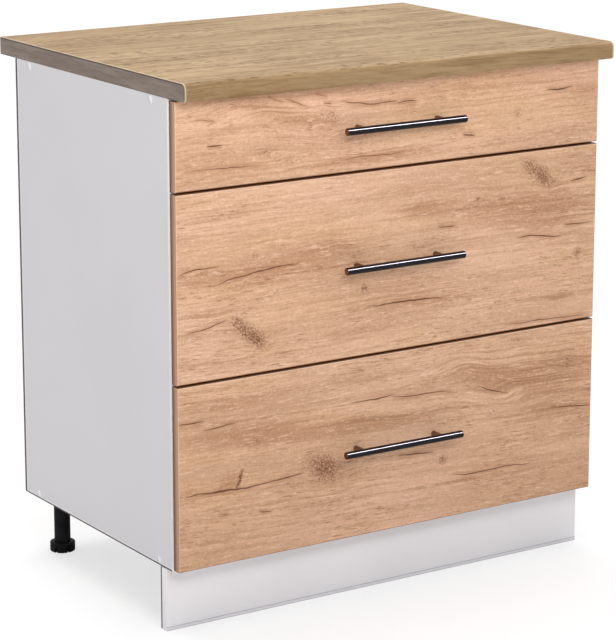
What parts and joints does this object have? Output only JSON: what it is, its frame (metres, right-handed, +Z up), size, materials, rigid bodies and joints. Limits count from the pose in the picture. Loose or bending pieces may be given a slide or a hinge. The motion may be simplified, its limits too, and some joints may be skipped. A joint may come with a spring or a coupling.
{
  "type": "base cabinet with drawers",
  "caption": "Kitchen base cabinet with a stack of full-extension drawers, bar handles, an overhanging worktop, a clip-on plinth and levelling feet.",
  "frame": {"origin": "on the floor, under the middle of the worktop", "axes": "+Z up, -Y out of the drawer fronts, +X to the right for someone who faces the fronts"},
  "size_m": [0.802, 0.59, 0.86],
  "materials": {
    "carcass_board": "white melamine-faced chipboard, fine pearl texture",
    "plinth_board": "white melamine-faced chipboard",
    "edge_band": "white edge band",
    "back_sheet": "white lacquered hardboard",
    "zinc_steel": "zinc-plated screws and nails",
    "cap_plastic": "white plastic caps",
    "worktop_core": "raw chipboard with a brown backing paper under it",
    "worktop_laminate": "light oak laminate, satin",
    "worktop_edge": "oak melamine strip, matt",
    "leg_plastic": "black plastic",
    "seal_plastic": "white plastic sealing strip",
    "oak_front": "knotty golden oak decor, fine grain texture",
    "drawer_board": "white melamine-faced chipboard",
    "drawer_sheet": "white lacquered hardboard",
    "handle_metal": "dark graphite lacquer, satin",
    "runner_steel": "zinc-plated rolled steel",
    "drawer_screws": "zinc-plated screws"
  },
  "bodies": {
    "carcass": {"back_panel": "back_sheet", "back_panel_nails": "zinc_steel", "bottom_panel": "carcass_board", "bottom_runners_cabinet": "runner_steel", "carcass_edge_bands": "edge_band", "chipboard_screws": "zinc_steel", "confirmat_screws": "zinc_steel", "leg_sockets": "leg_plastic", "leg_tubes": "leg_plastic", "middle_runners_cabinet": "runner_steel", "plinth_board": "plinth_board", "plinth_clips": "leg_plastic", "plinth_seal": "seal_plastic", "screw_caps": "cap_plastic", "side_panel_left": "carcass_board", "side_panel_right": "carcass_board", "top_rail_front": "carcass_board", "top_rail_rear": "carcass_board", "top_runners_cabinet": "runner_steel", "worktop_core": "worktop_core", "worktop_end_strips": "worktop_edge", "worktop_laminate": "worktop_laminate", "worktop_screws": "zinc_steel"},
    "drawer_bottom": {"bottom_drawer_front": "oak_front", "bottom_drawer_inner_front": "drawer_board", "bottom_drawer_side_left": "drawer_board", "bottom_drawer_side_right": "drawer_board", "bottom_drawer_back": "drawer_board", "bottom_drawer_bottom": "drawer_sheet", "bottom_drawer_screws": "drawer_screws", "bottom_handle_bar": "handle_metal", "bottom_handle_posts": "handle_metal", "bottom_runners_drawer": "runner_steel"},
    "runner_bottom": {"bottom_runners_middle": "runner_steel"},
    "drawer_middle": {"middle_drawer_front": "oak_front", "middle_drawer_inner_front": "drawer_board", "middle_drawer_side_left": "drawer_board", "middle_drawer_side_right": "drawer_board", "middle_drawer_back": "drawer_board", "middle_drawer_bottom": "drawer_sheet", "middle_drawer_screws": "drawer_screws", "middle_handle_bar": "handle_metal", "middle_handle_posts": "handle_metal", "middle_runners_drawer": "runner_steel"},
    "runner_middle": {"middle_runners_middle": "runner_steel"},
    "drawer_top": {"top_drawer_front": "oak_front", "top_drawer_inner_front": "drawer_board", "top_drawer_side_left": "drawer_board", "top_drawer_side_right": "drawer_board", "top_drawer_back": "drawer_board", "top_drawer_bottom": "drawer_sheet", "top_drawer_screws": "drawer_screws", "top_handle_bar": "handle_metal", "top_handle_posts": "handle_metal", "top_runners_drawer": "runner_steel"},
    "runner_top": {"top_runners_middle": "runner_steel"},
    "foot_front_left": {"foot_front_left": "leg_plastic"},
    "foot_front_right": {"foot_front_right": "leg_plastic"},
    "foot_rear_left": {"foot_rear_left": "leg_plastic"},
    "foot_rear_right": {"foot_rear_right": "leg_plastic"}
  },
  "joints": [
    {"name": "drawer_bottom_slide", "type": "slide", "parent": "carcass", "child": "drawer_bottom", "axis": [0, -1, 0], "range_m": [0, 0.45]},
    {"name": "runner_bottom_slide", "type": "slide", "parent": "carcass", "child": "runner_bottom", "axis": [0, -1, 0], "range_m": [0, 0.225]},
    {"name": "drawer_middle_slide", "type": "slide", "parent": "carcass", "child": "drawer_middle", "axis": [0, -1, 0], "range_m": [0, 0.45]},
    {"name": "runner_middle_slide", "type": "slide", "parent": "carcass", "child": "runner_middle", "axis": [0, -1, 0], "range_m": [0, 0.225]},
    {"name": "drawer_top_slide", "type": "slide", "parent": "carcass", "child": "drawer_top", "axis": [0, -1, 0], "range_m": [0, 0.45]},
    {"name": "runner_top_slide", "type": "slide", "parent": "carcass", "child": "runner_top", "axis": [0, -1, 0], "range_m": [0, 0.225]},
    {"name": "foot_front_left_height", "type": "slide", "parent": "carcass", "child": "foot_front_left", "axis": [0, 0, -1], "range_m": [0, 0.02]},
    {"name": "foot_front_right_height", "type": "slide", "parent": "carcass", "child": "foot_front_right", "axis": [0, 0, -1], "range_m": [0, 0.02]},
    {"name": "foot_rear_left_height", "type": "slide", "parent": "carcass", "child": "foot_rear_left", "axis": [0, 0, -1], "range_m": [0, 0.02]},
    {"name": "foot_rear_right_height", "type": "slide", "parent": "carcass", "child": "foot_rear_right", "axis": [0, 0, -1], "range_m": [0, 0.02]}
  ],
  "couplings": [
    {"joint": "runner_bottom_slide", "follows": "drawer_bottom_slide", "ratio": 0.5},
    {"joint": "runner_middle_slide", "follows": "drawer_middle_slide", "ratio": 0.5},
    {"joint": "runner_top_slide", "follows": "drawer_top_slide", "ratio": 0.5}
  ]
}
